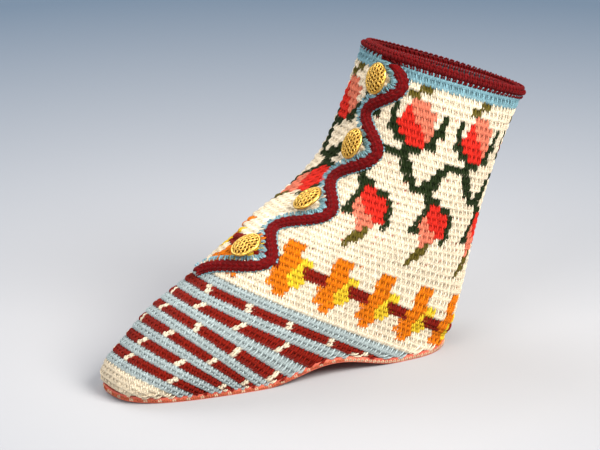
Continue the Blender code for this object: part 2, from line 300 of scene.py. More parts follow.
# Upper: shape and pattern
# Foot and shaft are crocheted in one from cotton yarns over a last, a round of stitches below the other.
# Cream ground, two berry rows on a vine, an orange scroll border, and red dashes on pale blue on the foot.
FRONT_POWER = 2.3
LEAST_BELLY = 1.001
# Columns: name, front_forward, front_up, back_forward, back_up, half_width, widest, back_power.
SECTIONS = (
    ("toe_edge", 132.4, None, 132.0, None, 5.0, 0.97, 3.0),
    ("toe_cap", 133.0, 5.5, 128.6, None, 11.0, 0.97, 3.0),
    ("toe", 131.6, 10.0, 118.5, None, 15.6, 0.95, 3.0),
    ("toe_box", 123.5, 17.9, 100.5, None, 19.6, 0.90, 3.0),
    ("ball", 112.0, 27.8, 82.0, None, 22.4, 0.84, 3.0),
    ("vamp", 100.5, 34.0, 54.0, None, 24.4, 0.76, 3.0),
    ("throat", 91.0, 40.4, 18.0, None, 25.3, 0.59, 3.0),
    ("instep", 84.5, 44.3, 4.0, None, 25.9, 0.53, 3.0),
    ("heel_end", 79.5, 47.0, -1.0, None, 26.3, 0.51, 3.0),
    ("counter", 68.0, 52.3, -6.5, 17.5, 27.5, 0.50, 2.8),
    ("heel", 57.0, 57.5, -10.0, 30.5, 28.4, 0.50, 2.5),
    ("ankle", 39.5, 70.7, -15.5, 49.5, 27.5, 0.50, 2.3),
    ("shaft", 30.0, 88.0, -22.0, 66.5, 26.2, 0.50, 2.3),
    ("collar", 21.5, 112.0, -36.6, 89.6, 21.8, 0.50, 2.2),
)
HEEL_END_ROW = [section[0] for section in SECTIONS].index("heel_end")
COLLAR_ROW = len(SECTIONS) - 1
LOOP_STEPS = 160
LOOP_SAMPLES = 0.5 - 0.5 * np.cos(np.linspace(0.0, np.pi, LOOP_STEPS + 1))
RIDGE_STEPS = 520
COLLAR_TALL = 4.2


def section_table():
    """SECTIONS as numbers, with None replaced by the height of the sole there."""
    rows = []
    for _, front_forward, front_up, back_forward, back_up, *shape in SECTIONS:
        front_up = sole_top(front_forward) if front_up is None else front_up
        back_up = sole_top(back_forward) if back_up is None else back_up
        rows.append((front_forward, front_up, back_forward, back_up, *shape))
    return np.array(rows)


TABLE = section_table()


def smooth(values, row):
    """Monotone cubic through values at whole rows."""
    steps = np.diff(values)
    slopes = np.empty(len(values))
    slopes[0], slopes[-1] = steps[0], steps[-1]
    before, after = steps[:-1], steps[1:]
    same_way = before * after > 0.0
    total = np.where(same_way, before + after, 1.0)
    slopes[1:-1] = np.where(same_way, 2.0 * before * after / total, 0.0)
    low = np.clip(np.floor(row).astype(int), 0, len(values) - 2)
    part = row - low
    rest = 1.0 - part
    return (values[low] * (1.0 + 2.0 * part) * rest ** 2 + slopes[low] * part * rest ** 2
            + values[low + 1] * part ** 2 * (3.0 - 2.0 * part) - slopes[low + 1] * part ** 2 * rest)


def row_shape(row):
    """Front and back points, half width, widest share, back power and wrap (loop fraction at the end)."""
    row = np.asarray(row, dtype=float)
    columns = [smooth(column, row) for column in TABLE.T]
    front_forward, front_up, back_forward, back_up, half, widest, back_power = columns
    on_sole = row <= HEEL_END_ROW
    edge_half = np.where(on_sole, sole_half(back_forward), 0.0)
    back_up = np.where(on_sole, sole_top(back_forward), back_up)
    half = np.maximum(half, edge_half * LEAST_BELLY)
    wrap = 0.5 + 0.5 * (1.0 - (edge_half / half) ** back_power) ** (1.0 / back_power)
    return front_forward, front_up, back_forward, back_up, half, widest, back_power, wrap


def row_points(row, loop):
    """Points on the outer side of rows at loop fractions from 0 (ridge) over 0.5 (widest) to wrap."""
    front_forward, front_up, back_forward, back_up, half, widest, back_power, wrap = row_shape(row)
    in_front = loop < 0.5
    behind = widest + (1.0 - widest) * (loop - 0.5) / (wrap - 0.5)
    along = np.where(in_front, 2.0 * widest * loop, behind)
    power = np.where(in_front, FRONT_POWER, back_power)
    bulge = np.clip(1.0 - np.abs(1.0 - 2.0 * loop) ** power, 0.0, None)
    return np.stack([front_forward + (back_forward - front_forward) * along,
                     half * bulge ** (1.0 / power),
                     front_up + (back_up - front_up) * along], axis=-1)


def running_lengths(points):
    """Length along a line of points from its start to each of them."""
    steps = np.linalg.norm(np.diff(points, axis=0), axis=1)
    return np.concatenate([[0.0], np.cumsum(steps)])


@functools.lru_cache(maxsize=None)
def row_lengths(row):
    """Loop fractions on one row, and the length of the row from the front ridge to each of them."""
    loop = LOOP_SAMPLES * row_shape(row)[-1]
    return loop, running_lengths(row_points(row, loop))


FINE_ROWS = np.linspace(COLLAR_ROW, 0.0, RIDGE_STEPS + 1)
RIDGE_LENGTHS = running_lengths(row_points(FINE_ROWS, np.zeros(RIDGE_STEPS + 1)))


def half_round(down):
    """Length of the cloth from the front ridge to the back or the sole's edge."""
    return row_lengths(float(np.interp(down, RIDGE_LENGTHS, FINE_ROWS)))[1][-1]


def on_cloth(down, around):
    """Points of the upper's outside at one length down and many lengths around."""
    row = float(np.interp(down, RIDGE_LENGTHS, FINE_ROWS))
    loop, lengths = row_lengths(row)
    points = row_points(row, np.interp(np.abs(around), lengths, loop))
    points[:, 1] *= np.sign(around)
    return points


def outward(down, around):
    """Unit normals of the upper's outside at one length down and many lengths around."""
    reach = 0.25
    sideways = on_cloth(down, around + reach) - on_cloth(down, around - reach)
    upward = on_cloth(max(down - reach, 0.0), around) - on_cloth(down + reach, around)
    normal = np.cross(sideways, upward)
    return normal / np.linalg.norm(normal, axis=1)[:, None]


def cloth(down, around, lift):
    """One point of the upper's outside, lifted along its normal."""
    spot = np.array([around])
    return on_cloth(down, spot)[0] + lift * outward(down, spot)[0]


# Rounds of stitches, as lengths down the ridge
SHAFT_START = 3.0
VAMP_START = 107.8
TOE_START = 155.3
TOE_LAST = 163.2
SHAFT_ROUNDS = 39
VAMP_ROUNDS = 26
TOE_ROUNDS = 4
STITCH_WIDE = 2.32
# Share of a stitch by which the rounds are moved, one way and the other in turn
STAGGER = 0.25
ROUND_EDGES = np.concatenate([np.linspace(SHAFT_START, VAMP_START, SHAFT_ROUNDS + 1),
                              np.linspace(VAMP_START, TOE_START, VAMP_ROUNDS + 1)[1:],
                              np.linspace(TOE_START, TOE_LAST, TOE_ROUNDS + 1)[1:]])
# How far the stitch columns have moved away from the ridge at lengths down
LEAN_DOWN = (0.0, 30.0, 45.0, 66.0, 108.0)
LEAN_AWAY = (0.0, 4.0, 8.0, 19.0, 40.0)

YARNS = {
    ".": linear(253, 236, 206),   # cream
    "k": linear(134, 178, 190),   # sky blue
    "b": linear(184, 199, 200),   # pale blue
    "d": linear(140, 28, 6),      # rust red
    "m": linear(116, 10, 14),     # maroon
    "r": linear(238, 48, 34),     # bright red
    "s": linear(248, 136, 106),   # salmon
    "g": linear(38, 52, 22),      # dark green
    "o": linear(104, 92, 34),     # olive
    "O": linear(246, 130, 4),     # orange
    "y": linear(254, 212, 50),    # yellow
}
# One berry repeat, a string for each round below the sky-blue edge
BERRIES = (
    ".....oo....",
    "...oo......",
    "....sss....",
    ".g.rssss.g.",
    ".g.rrsss.g.",
    ".grrrrssgg.",
    ".ggrrrrsg..",
    "..ggrrrgg..",
    "....ggg....",
    "ggggg......",
    "g...gg....g",
    "....gg...gg",
    ".....gg.ggg",
    "......gggg.",
    "g........gg",
    "rgg......gr",
    "rrrg.....gr",
    "rrrg....gsr",
    "rrrg....gss",
    "srrg...ggss",
    "ss.g......s",
    "o.........s",
    "o.........o",
    ".........oo",
    ".........o.",
)
# One repeat of the scroll border
SCROLL = (
    "..OOO...",
    "..OOO...",
    "..OOOyy.",
    "ddOOOydd",
    "ddOOyydd",
    ".OOOyyy.",
    ".OOOyy..",
    ".OOOO...",
    "..OO....",
)
SKY_ROUNDS = 2
SCROLL_ROUND = 29
BERRY_COLUMN = {1: 4, -1: -7}
SCROLL_COLUMN = {1: 0, -1: 4}
# Where a cream tick parts the dashes of each red stripe, as a length around, and how often
TICKS = (5.5, 10.5, 16.0, 11.0, 4.0, 5.0)
TICK_REPEAT = 17.3
TICK_WIDE = 1.5
TICKS_EACH_WAY = 5


def yarn(round_number, column, around):
    """Letter of the yarn of one stitch, whose column counts from the ridge on its own side."""
    side = 1 if around >= 0.0 else -1
    column = column if side > 0 else -column - 1
    if round_number < SKY_ROUNDS:
        return "k"
    if round_number < SHAFT_ROUNDS:
        berry_round = round_number - SKY_ROUNDS
        scroll_round = round_number - SCROLL_ROUND
        if berry_round < len(BERRIES):
            return BERRIES[berry_round][(column - BERRY_COLUMN[side]) % len(BERRIES[0])]
        if 0 <= scroll_round < len(SCROLL):
            return SCROLL[scroll_round][(column - SCROLL_COLUMN[side]) % len(SCROLL[0])]
        return "."
    stripe = (round_number - SHAFT_ROUNDS) // 2
    if round_number >= SHAFT_ROUNDS + VAMP_ROUNDS:
        return "."
    if stripe % 2 == 0:
        return "b"
    from_ticks = np.abs(round_ticks(round_number) - around)
    return "." if from_ticks.min() < 0.5 * TICK_WIDE else "d"


# Flap outline, which parts the outer cloth from the inner
LOBE_DOWNS = (11.0, 36.5, 65.0, 94.0)
SCALLOP_DEPTH = 10.5
SCALLOP_MIDDLE = 9.75
TAIL_END_DOWN = 110.5
TAIL_END_AROUND = -3.0
EDGING_WIDE = 5.0
FLAP_ROOT = -24.0
FLAP_BLEND = 15.0
LEAST_BLEND = 1.0
FLAP_THICK = 1.8
FLAP_TOP = GAP + FLAP_THICK
FLAP_NARROWS_FROM = 76.0
FLAP_TIP = 2.0
UNDERLAP = 1.5
EDGING_CLEAR = 1.6


def ease(value):
    """Smooth step from 0 to 1."""
    value = np.clip(value, 0.0, 1.0)
    return value * value * (3.0 - 2.0 * value)


def scallop(down):
    """Around-position of the flap edging's middle: round lobes, then the tail across the ridge."""
    reach = 0.5 * SCALLOP_DEPTH
    last_lobe = LOBE_DOWNS[-1]
    if down <= last_lobe:
        first_step = LOBE_DOWNS[1] - LOBE_DOWNS[0]
        turn = np.interp(down, (LOBE_DOWNS[0] - first_step, *LOBE_DOWNS), range(len(LOBE_DOWNS) + 1))
        return SCALLOP_MIDDLE + reach * math.cos(2.0 * math.pi * turn)
    fall = min((down - last_lobe) / (TAIL_END_DOWN - last_lobe), 1.0)
    start = SCALLOP_MIDDLE + reach
    return TAIL_END_AROUND + (start - TAIL_END_AROUND) * (0.5 + 0.5 * math.cos(math.pi * fall))


def flap_root(down):
    """Around-position at which the flap leaves the inner side's cloth."""
    narrow = ease((down - FLAP_NARROWS_FROM) / (TAIL_END_DOWN - FLAP_NARROWS_FROM))
    edge = scallop(down) - 0.5 * EDGING_WIDE
    return FLAP_ROOT + (edge - FLAP_TIP - FLAP_ROOT) * narrow


def flap_lift(down, around):
    """Height of the flap's outside over the upper, rising from its root."""
    if down > TAIL_END_DOWN:
        return np.zeros_like(around)
    root = flap_root(down)
    blend = min(FLAP_BLEND, max(scallop(down) - root, LEAST_BLEND))
    return FLAP_TOP * ease((around - root) / blend)


def lean(down):
    """How far the shaft's stitch columns have moved away from the ridge."""
    return float(np.interp(down, LEAN_DOWN, LEAN_AWAY))


def round_columns(down, side, in_shaft):
    """Column numbers on one side of a round, and the around-position and width of their stitches."""
    start = lean(down) if in_shaft else 0.0
    span = half_round(down) - start
    count = max(int(round(span / STITCH_WIDE)), 1)
    wide = span / count
    first = -int((start + SCALLOP_MIDDLE + SCALLOP_DEPTH) / wide) if in_shaft else 0
    columns = np.arange(first, count)
    return columns, side * (start + (columns + 0.5) * wide), wide


def stagger(number):
    """Share of a stitch by which a round is moved."""
    return STAGGER if number % 2 else -STAGGER


@functools.lru_cache(maxsize=None)
def round_ticks(number):
    """Lengths around at which the ticks of a red round stand, each on one of its stitches."""
    stripe, lower = divmod(number - SHAFT_ROUNDS, 2)
    down = 0.5 * (ROUND_EDGES[number] + ROUND_EDGES[number + 1])
    stitches = []
    for side in (1, -1):
        _, arounds, wide = round_columns(down, side, False)
        stitches.extend(arounds + stagger(number) * wide)
    stitches = np.array(stitches)
    if lower:
        wanted = round_ticks(number - 1)
    else:
        wanted = TICKS[stripe // 2] + TICK_REPEAT * np.arange(-TICKS_EACH_WAY, TICKS_EACH_WAY + 1)
        wanted = wanted[np.abs(wanted) < half_round(down)]
    return stitches[np.abs(stitches[:, None] - wanted).argmin(axis=0)]


# Upper: stitches
# Each stitch is two plump strands of two-ply cotton that rise to a point in the round above, so that
# colours meet in a fine sawtooth with pinholes between.
STRAND_SIDES = 6
STRAND_RINGS = 5
FOOT_WIDE = 0.56
POINT_WIDE = 0.26
FOOT_FULL = 0.4
STRAND_THICK = 0.56
STRAND_LIFT = -0.1
STRAND_ARCH = 0.5
STRAND_BEND = 0.85
NEAR_POLE = 0.01
YARN_SPREAD = 0.12
STITCH_SEED = 7
stitch_chance = np.random.RandomState(STITCH_SEED)


def strands(legs):
    """Plump strands from foot to point, as vertices, faces and a strand coordinate (turn, along).
    Legs are (foot across, foot up, point across, point up) in shares of a stitch."""
    mesh = bmesh.new()
    strand = []
    for foot_across, foot_up, point_across, point_up in legs:
        made = bmesh.ops.create_uvsphere(mesh, u_segments=STRAND_SIDES, v_segments=STRAND_RINGS, radius=0.5)
        for vert in made["verts"]:
            along = vert.co.z + 0.5
            turn = math.atan2(vert.co.x, vert.co.y) / (2.0 * math.pi) + 0.5
            width = FOOT_WIDE + (POINT_WIDE - FOOT_WIDE) * along
            radius = math.hypot(vert.co.x, vert.co.y)
            if along < 0.5 and radius > NEAR_POLE:
                width *= (2.0 * radius) ** -FOOT_FULL
            arch = STRAND_LIFT + STRAND_ARCH * math.sin(STRAND_BEND * math.pi * along)
            strand.append((turn, along))
            vert.co = (foot_across + (point_across - foot_across) * along + vert.co.x * width,
                       foot_up + (point_up - foot_up) * along, arch + vert.co.y * STRAND_THICK)
    bmesh.ops.recalc_face_normals(mesh, faces=mesh.faces[:])
    mesh.verts.index_update()
    points = np.array([vert.co for vert in mesh.verts])
    faces = [[vert.index for vert in face.verts] for face in mesh.faces]
    mesh.free()
    return points, faces, np.array(strand)


def joined(name, shape, spots):
    """One mesh of a shape repeated at spots: middle, across, up and out vectors, and a colour for each."""
    points, faces, strand = shape
    middle, across, up, out, colours = (np.array(column) for column in zip(*spots))
    count = len(middle)
    where = (middle[:, None, :] + points[None, :, 0:1] * across[:, None, :]
             + points[None, :, 1:2] * up[:, None, :] + points[None, :, 2:3] * out[:, None, :])
    starts = np.arange(count)[:, None] * len(points)
    corners = (np.concatenate(faces)[None, :] + starts).ravel()
    totals = np.tile([len(face) for face in faces], count)
    data = bpy.data.meshes.new(name)
    data.vertices.add(count * len(points))
    data.vertices.foreach_set("co", place(where).ravel())
    data.loops.add(len(corners))
    data.loops.foreach_set("vertex_index", corners)
    data.polygons.add(len(totals))
    data.polygons.foreach_set("loop_start", np.concatenate([[0], np.cumsum(totals)[:-1]]))
    data.polygons.foreach_set("loop_total", totals)
    data.update(calc_edges=True)
    shades = np.ones((count, len(points), 4))
    shades[..., :3] = colours[:, None, :]
    data.color_attributes.new("yarn", "FLOAT_COLOR", "POINT").data.foreach_set("color", shades.ravel())
    twist = np.zeros((count, len(points), 3))
    twist[..., :2] = strand[None]
    data.attributes.new("strand", "FLOAT_VECTOR", "POINT").data.foreach_set("vector", twist.ravel())
    return data


def vary(colour, spread=YARN_SPREAD):
    """Yarn colour of one stitch, a little lighter or darker than the next."""
    return np.array(colour) * (1.0 + spread * stitch_chance.uniform(-1.0, 1.0))


# Matte cotton in the colour of each stitch, with the twist of its plies and loose fibres
cotton = Finish("crochet cotton", 0.85)
fibres = cotton.noise(2600.0, 4.0, 0.6)
fibre_tone = cotton.ramp(fibres, ((0.25, (0.72, 0.70, 0.68)), (0.75, (1.0, 1.0, 1.0))))
cotton.colour(cotton.toned(cotton.attribute("yarn"), fibre_tone))
parts = cotton.nodes.new("ShaderNodeSeparateXYZ")
cotton.links.new(cotton.attribute("strand", "Vector"), parts.inputs["Vector"])
twisted = cotton.math("MULTIPLY_ADD", parts.outputs["Y"], 3.0, parts.outputs["X"])
plies = cotton.math("SINE", cotton.math("MULTIPLY", twisted, 4.0 * math.pi))
cotton.bump(plies, 0.00012, 0.8)
cotton.bump(fibres, 0.00025, 0.7)
cotton.shader.inputs["Specular IOR Level"].default_value = 0.1
cotton.shader.inputs["Sheen Weight"].default_value = 0.03
cotton.shader.inputs["Sheen Roughness"].default_value = 0.5

STITCH_LEGS = ((-0.32, -0.44, -0.40, 0.58), (0.20, -0.46, -0.08, 0.88))
# How far the middle of each two-round stripe of the foot stands out of its edges
STRIPE_CROWN = 0.36
# The narrow stitch that laps over the sole's edge: its width, how far it stands out and where it starts
HEM = 0.6
HEM_OUT = 0.25
SOLE_FROM_DOWN = 100.0
# How unevenly a hand works, in shares of a stitch
NUDGE = 0.06
NUDGE_TALL = 1.5
stitch_shape = strands(STITCH_LEGS)


def stripe_crown(number):
    """How far a round leans: in at its top in the upper round of a stripe, out in the lower one."""
    on_foot = number - SHAFT_ROUNDS
    if not 0 <= on_foot < VAMP_ROUNDS:
        return 0.0
    return STRIPE_CROWN if on_foot % 2 else -STRIPE_CROWN


stitch_spots = {"shaft_outer": [], "shaft_inner": [], "vamp": [], "flap_crochet": []}
for number, (top, bottom) in enumerate(zip(ROUND_EDGES, ROUND_EDGES[1:])):
    down = 0.5 * (top + bottom)
    in_shaft = number < SHAFT_ROUNDS
    crown = stripe_crown(number)
    for side in (1, -1):
        columns, arounds, wide = round_columns(down, side, in_shaft)
        if in_shaft:
            edge = scallop(down)
            flap_end = edge - 0.5 * EDGING_WIDE - EDGING_CLEAR
            kept = arounds > edge - UNDERLAP if side > 0 else arounds < flap_end
            columns, arounds = columns[kept], arounds[kept]
        if not len(columns):
            continue
        limit = half_round(down)
        shift = 0.5 * side * (lean(bottom) - lean(top)) if in_shaft else 0.0
        across = (on_cloth(down, np.minimum(arounds + 0.5 * wide, limit))
                  - on_cloth(down, np.maximum(arounds - 0.5 * wide, -limit)))
        up = on_cloth(top, arounds - shift) - on_cloth(bottom, arounds + shift)
        normals = outward(down, arounds)
        lifts = flap_lift(down, arounds) if side < 0 and in_shaft else np.zeros_like(arounds)
        middles = on_cloth(down, arounds) + lifts[:, None] * normals
        if down > SOLE_FROM_DOWN:
            columns, arounds = np.append(columns, columns[-1]), np.append(arounds, arounds[-1])
            over = 0.5 * side * (1.0 + HEM) * across[-1] + HEM_OUT * normals[-1]
            middles = np.append(middles, [middles[-1] + over], axis=0)
            across = np.append(across, HEM * across[-1:], axis=0)
            up, normals = np.append(up, up[-1:], axis=0), np.append(normals, normals[-1:], axis=0)
        for k, column in enumerate(columns):
            here = side if in_shaft else arounds[k] + stagger(number) * wide
            colour = vary(YARNS[yarn(number, int(column), here)])
            nudge = stitch_chance.uniform(-NUDGE, NUDGE, 3)
            aside = nudge[0] + stagger(number)
            spot = (middles[k] + aside * across[k] + nudge[1] * up[k], across[k] * (1.0 + nudge[2]),
                    up[k] * (1.0 + NUDGE_TALL * nudge[0]) + crown * normals[k], normals[k], colour)
            if not in_shaft:
                name = "vamp"
            elif side > 0:
                name = "shaft_outer"
            elif arounds[k] > flap_root(down):
                name = "flap_crochet"
            else:
                name = "shaft_inner"
            stitch_spots[name].append(spot)

for name in ("shaft_outer", "shaft_inner", "vamp"):
    finish_piece(name, joined(name, stitch_shape, stitch_spots[name]), [cotton.material])

# Upper: wall
# The body of the fabric under the stitches, a plump rib for each round with pinholes between the ribs,
# painted darker at the pinholes as painted shade.
# It is hollow, and open at the collar and underneath.
WALL = 2.2
RIB_OUT = 0.5
RIB_IN = -0.25
# Painted shade in the gaps between dyed stitches: the fabric behind them darker than behind cream ones
DYED_GAP_PAINTED_SHADE = 0.7
# Painted shade of the pinholes at each round's edge, darker and lighter in turn along it
PINHOLE_PAINTED_SHADES = (0.7, 0.5)
WALL_COLUMNS = 200
WALL_START = 0.4 * COLLAR_TALL
EDGE_CROWN = 0.4
# Share of the pinholes in the ground at which yarn carried behind the stitches shows
FLOAT_SHARE = 0.06


def ground(letter, painted_shade):
    """Colour of the fabric behind the stitches in painted shade, deeper between dyed ones than between cream
    ones.
    """
    return np.array(YARNS[letter]) * (painted_shade if letter == "." else DYED_GAP_PAINTED_SHADE * painted_shade)


def yarn_sheet(columns, rounds, spot):
    """Grid in yarn colours: spot gives the point and the colour at shares across the sheet and up it."""
    mesh = bmesh.new()
    bmesh.ops.create_grid(mesh, x_segments=columns, y_segments=rounds, size=0.5)
    layer = mesh.verts.layers.float_color.new("yarn")
    for vert in mesh.verts:
        point, colour = spot(vert.co.x + 0.5, vert.co.y + 0.5)
        vert.co = place(point)
        vert[layer] = (*colour, 1.0)
    return mesh


wall_spots = [(WALL_START, RIB_IN, 0)]
for number, (top, bottom) in enumerate(zip(ROUND_EDGES, ROUND_EDGES[1:])):
    edge_lift = RIB_IN + EDGE_CROWN * stripe_crown(number)
    wall_spots += [(top, edge_lift, number), (0.5 * (top + bottom), RIB_OUT, number)]
wall_spots.append((TOE_LAST, RIB_IN, number))
wall_points, wall_colours = [], []
for down, lift, number in wall_spots:
    limit = half_round(down)
    arounds = np.linspace(-limit, limit, WALL_COLUMNS + 1)
    wall_points.append(on_cloth(down, arounds) + lift * outward(down, arounds))
    start = lean(down) if number < SHAFT_ROUNDS else 0.0
    columns = np.floor((np.abs(arounds) - start) / STITCH_WIDE)
    letters = [yarn(number, int(column), around) for column, around in zip(columns, arounds)]
    # Round edges get the painted shade of the pinholes, rib tops the yarn's own colour
    shades = (1.0, 1.0) if lift > 0.0 else PINHOLE_PAINTED_SHADES
    if lift < 0.0 and SKY_ROUNDS < number < SHAFT_ROUNDS:
        floats = "sr" if number < SCROLL_ROUND - 1 else "Od"
        letters = [floats[k % 2] if letter == "." and stitch_chance.uniform() < FLOAT_SHARE else letter
                   for k, letter in enumerate(letters)]
    wall_colours.append([ground(letter, shades[k % 2]) for k, letter in enumerate(letters)])
wall_rounds = len(wall_spots) - 1


def wall_spot(share, height):
    """Point and colour of the wall."""
    number = wall_rounds - round(height * wall_rounds)
    column = round(share * WALL_COLUMNS)
    return wall_points[number][column], wall_colours[number][column]


wall_mesh = yarn_sheet(WALL_COLUMNS, wall_rounds, wall_spot)
bmesh.ops.remove_doubles(wall_mesh, verts=wall_mesh.verts[:], dist=MERGE * MM)
fabric = Finish("crochet back", 0.9)
fabric_fibres = fabric.noise(1300.0, 5.0, 0.65)
fabric_tone = fabric.ramp(fabric_fibres, ((0.3, (0.6, 0.58, 0.55)), (0.7, (1.0, 1.0, 1.0))))
fabric.colour(fabric.toned(fabric.attribute("yarn"), fabric_tone))
fabric.bump(fabric.cells(620.0), 0.0006, 0.6)
fabric.bump(fabric_fibres, 0.0004, 0.6)
fabric.shader.inputs["Specular IOR Level"].default_value = 0.1
upper_wall = finish_piece("upper_wall", wall_mesh, [fabric.material], ["upper"])
add_wall(upper_wall, WALL + RIB_IN, -1.0)

# Sole seam
# Coral cotton, with a cream stitch now and then and cream alone round the heel.
# It is whipped through the leather's edge and the upper's last stitches.
WHIP_APART = 1.7
WHIP_TALL = 1.1
WHIP_MIDDLE = 0.7
WHIP_IN = 0.45
WHIP_LEAN = 0.25
WHIP_PLUMP = 0.6
WHIP_REACH = 0.5
SEAM_SAMPLES = 400
CREAM_EVERY = 3
CORAL_FROM = 50.0
WHIP_YARNS = (linear(214, 110, 74), linear(236, 196, 160))


def unit(vector):
    """Vector of length one."""
    return vector / np.linalg.norm(vector)


whip_spots = []
seam_forward, seam_half = sole_outline(SOLE_MARGIN, SEAM_SAMPLES)
seam_lengths = running_lengths(np.stack([seam_forward, seam_half], axis=-1))
whip_count = int(seam_lengths[-1] / WHIP_APART)
for side in (1, -1):
    for whip in range(whip_count):
        along = (whip + 0.5) * seam_lengths[-1] / whip_count
        ends = np.array([along - WHIP_REACH, along + WHIP_REACH])
        forward = np.interp(ends, seam_lengths, seam_forward)
        half = side * np.interp(ends, seam_lengths, seam_half)
        run = unit(np.array([forward[1] - forward[0], half[1] - half[0], 0.0]))
        out = side * np.array([-run[1], run[0], 0.0])
        here = forward.mean()
        middle = np.array([here, half.mean(), sole_under(here) + WHIP_MIDDLE]) - WHIP_IN * out
        up = np.array([0.0, 0.0, WHIP_TALL]) - WHIP_LEAN * out
        colour = vary(WHIP_YARNS[1 if whip % CREAM_EVERY == 0 or here < CORAL_FROM else 0])
        whip_spots.append((middle, -WHIP_APART * run * side, up, WHIP_PLUMP * out, colour))
finish_piece("sole_seam", joined("sole_seam", stitch_shape, whip_spots), [cotton.material])

# Button flap
# The inner side's fabric carried on over the ridge as a scalloped flap, with two narrow sky-blue rounds
# worked along its edge.
FLAP_SHEET_ROUNDS = 160
FLAP_SHEET_COLUMNS = 16
FLAP_BODY = 0.9
ROUTE_STEPS = 420
LEVEL_START = 6.0
SKY_WIDE = 2.4
SKY_APART = 2.1
SKY_TUCK = 0.5
SKY_REACH = 0.5
# Share of the flap's width past which its sheet is sky blue, and how far the sheet stops short of the
# edging's middle
SKY_FROM = 0.88
SHEET_SHORT = 0.5
# The outer sky-blue round, on the cloth beyond the edging
OUTER_SKY_TALL = 1.5
OUTER_SKY_TUCK = 0.3
OUTER_SKY_LIFT = 0.6


def scallop_route(steps):
    """Down and around of points along the edging's middle, each with its direction toward the flap."""
    start = COLLAR_TALL + GAP
    reach = 0.05
    route = []
    for down in np.linspace(start, TAIL_END_DOWN, steps):
        slope = (scallop(down + reach) - scallop(down - reach)) / (2.0 * reach)
        slope *= ease((down - start) / LEVEL_START)
        size = math.hypot(1.0, slope)
        route.append((down, scallop(down), slope / size, -1.0 / size))
    return np.array(route)


def edging_point(spot, across, lift):
    """Point beside the edging's middle, across toward the flap."""
    down, around, side_down, side_around = spot
    return cloth(down + side_down * across, around + side_around * across, lift)


route = scallop_route(ROUTE_STEPS)
route_middle = np.array([edging_point(spot, 0.0, GAP) for spot in route])
route_lengths = running_lengths(route_middle)


def route_at(length):
    """Spot of the route at a length along the edging."""
    return np.array([np.interp(length, route_lengths, column) for column in route.T])


def sky_round(across, lift, tall, way):
    """Sky-blue stitches in a row beside the edging, pointing off the flap (1.0) or on to it (-1.0)."""
    spots = []
    count = int(route_lengths[-1] / SKY_APART)
    for number in range(count):
        here = route_at((number + 0.5) * route_lengths[-1] / count)
        middle = edging_point(here, across, lift)
        toward = unit(edging_point(here, across + SKY_REACH, lift)
                      - edging_point(here, across - SKY_REACH, lift))
        up = -way * toward
        out = edging_point(here, across, lift + 1.0) - middle
        spots.append((middle, SKY_APART * unit(np.cross(up, out)), tall * up, out, vary(YARNS["k"])))
    return spots


flap_spots = stitch_spots["flap_crochet"]
flap_spots += sky_round(0.5 * EDGING_WIDE + 0.5 * SKY_WIDE - SKY_TUCK, FLAP_TOP, SKY_WIDE, 1.0)
flap_spots += sky_round(OUTER_SKY_TUCK - 0.5 * EDGING_WIDE, OUTER_SKY_LIFT, OUTER_SKY_TALL, -1.0)
finish_piece("flap_crochet", joined("flap_crochet", stitch_shape, flap_spots),
             [cotton.material], ["button_flap"])

sheet_route = scallop_route(FLAP_SHEET_ROUNDS + 1)


def flap_spot(share, height):
    """Point and colour of the flap's sheet, from its root to near the middle of its edging."""
    step = FLAP_SHEET_ROUNDS - round(height * FLAP_SHEET_ROUNDS)
    route_down, around, side_down, side_around = sheet_route[step]
    edge = np.array([route_down + side_down * SHEET_SHORT, around + side_around * SHEET_SHORT])
    root = np.array([route_down, min(flap_root(route_down), edge[1] - SHEET_SHORT)])
    down, around = root + (edge - root) * share
    number = int(np.clip(np.searchsorted(ROUND_EDGES, down) - 1, 0, SHAFT_ROUNDS - 1))
    top, bottom = ROUND_EDGES[number:number + 2]
    rib = max(math.sin(math.pi * (down - top) / (bottom - top)), 0.0)
    column = math.floor((-around - lean(down)) / STITCH_WIDE)
    letter = "k" if share > SKY_FROM else yarn(number, column, -1.0)
    lift = float(flap_lift(down, around)) if share < 1.0 else FLAP_TOP
    # Painted shade in the grooves between rounds, fading to the yarn's own colour on the ribs
    painted_shade = PINHOLE_PAINTED_SHADES[0] + (1.0 - PINHOLE_PAINTED_SHADES[0]) * rib
    return cloth(down, around, lift + RIB_IN + (RIB_OUT - RIB_IN) * rib), ground(letter, painted_shade)


flap_mesh = yarn_sheet(FLAP_SHEET_COLUMNS, FLAP_SHEET_ROUNDS, flap_spot)
flap_sheet = finish_piece("flap_cloth", flap_mesh, [fabric.material])
add_wall(flap_sheet, FLAP_BODY, -1.0)

# Flap edging
# A raised braid of maroon cotton, three chains wide, that ends in a tail on the vamp.
# It is crocheted on along the flap's scallops.
EDGING_TALL = 2.8
EDGING_SIDE_TALL = 0.5
EDGING_CORE = 0.68
EDGING_BODY = 0.6
BRAID_STEPS = 200
BRAID_SIDES = 10
CHAIN_TURNS = (28.0, 90.0, 152.0)
CHAIN_WIDE = 2.4
CHAIN_APART = 1.9
CHAIN_TALL = 2.3
CHAIN_PLUMP = 1.4
CHAIN_REACH = 0.6
CHAIN_TURN_REACH = 0.3
OUTSIDE = 1.2
MAROON_SPREAD = 0.15
CHAIN_LEGS = ((-0.30, -0.56, -0.10, 0.72), (0.30, -0.56, 0.10, 0.72))


def braid_point(spot, turn, size=EDGING_CORE):
    """Point of the half-round braid at a turn from its flap side over its top, at a share of its size."""
    across = 0.5 * EDGING_WIDE * size * math.cos(turn)
    rise = EDGING_SIDE_TALL + (EDGING_TALL - EDGING_SIDE_TALL) * math.sin(turn)
    return edging_point(spot, across, GAP + size * rise)


